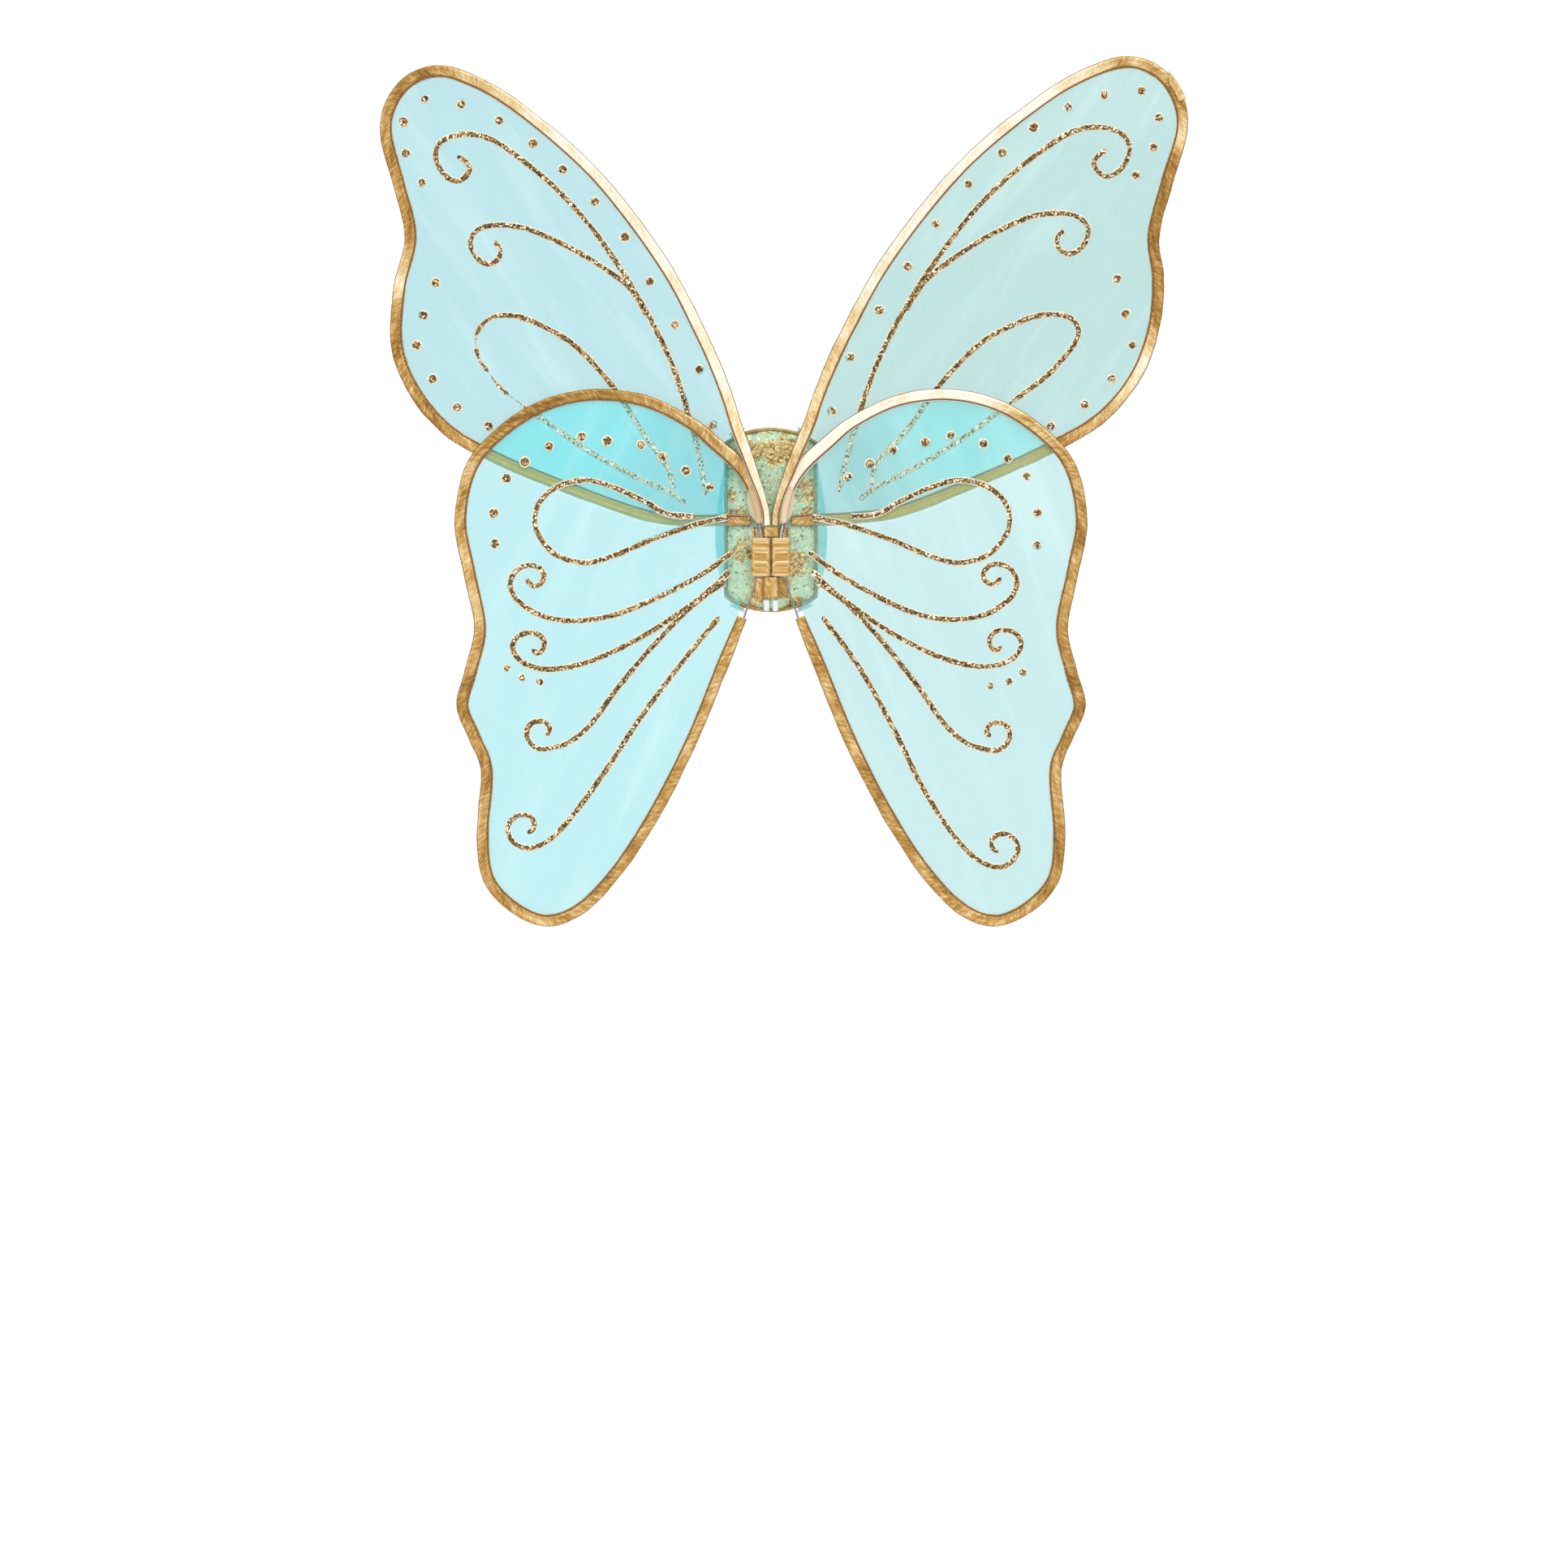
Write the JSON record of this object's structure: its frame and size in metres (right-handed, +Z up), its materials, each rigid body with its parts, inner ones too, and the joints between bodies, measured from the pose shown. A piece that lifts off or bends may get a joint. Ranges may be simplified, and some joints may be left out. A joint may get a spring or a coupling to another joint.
{
  "type": "costume wings",
  "caption": "Child's dress-up fairy wings: four sheer butterfly wings on bound wire frames, folding in pairs on a padded back plate with elastic shoulder loops.",
  "frame": {"origin": "middle of the back pad's flat face that rests on the wearer", "axes": "+Y is that face's normal, towards the wearer; +Z is up; +X is to the wearer's right"},
  "size_m": [0.5967, 0.1047, 0.6428],
  "materials": {
    "membrane": "sheer aqua organza",
    "gold_tape": "crinkled gold lame tape",
    "steel": "bright drawn wire",
    "glitter_fabric": "gold glitter",
    "lining": "soft knit",
    "foam": "open-cell foam",
    "stiffener": "plain sheet",
    "elastic": "woven elastic",
    "clear_plastic": "clear"
  },
  "bodies": {
    "back_pad": {"back_pad_lining": "lining", "back_pad_foam": "foam", "back_pad_stiffener": "stiffener", "back_pad_cover": "glitter_fabric", "back_pad_edge_binding": "gold_tape", "upper_shank_sleeve": "gold_tape", "lower_shank_sleeve": "gold_tape", "left_shoulder_strap": "elastic", "left_strap_patch_top": "elastic", "left_strap_patch_bottom": "elastic", "right_shoulder_strap": "elastic", "right_strap_patch_top": "elastic", "right_strap_patch_bottom": "elastic"},
    "left_wings": {"left_upper_wire_frame": "steel", "left_upper_binding": "gold_tape", "left_upper_membrane": "membrane", "left_lower_wire_frame": "steel", "left_lower_binding": "gold_tape", "left_lower_membrane": "membrane", "left_root_clamp": "steel", "left_root_wrap": "gold_tape", "left_shank_cap": "clear_plastic"},
    "right_wings": {"right_upper_wire_frame": "steel", "right_upper_binding": "gold_tape", "right_upper_membrane": "membrane", "right_lower_wire_frame": "steel", "right_lower_binding": "gold_tape", "right_lower_membrane": "membrane", "right_root_clamp": "steel", "right_root_wrap": "gold_tape", "right_shank_cap": "clear_plastic"}
  },
  "joints": [
    {"name": "left_wing_fold", "type": "hinge", "parent": "back_pad", "child": "left_wings", "pos_m": [-0.0033, -0.0172, 0], "axis": [0, 0, 1], "range_deg": [0, 75]},
    {"name": "right_wing_fold", "type": "hinge", "parent": "back_pad", "child": "right_wings", "pos_m": [0.0033, -0.0172, 0], "axis": [0, 0, -1], "range_deg": [0, 75]}
  ]
}
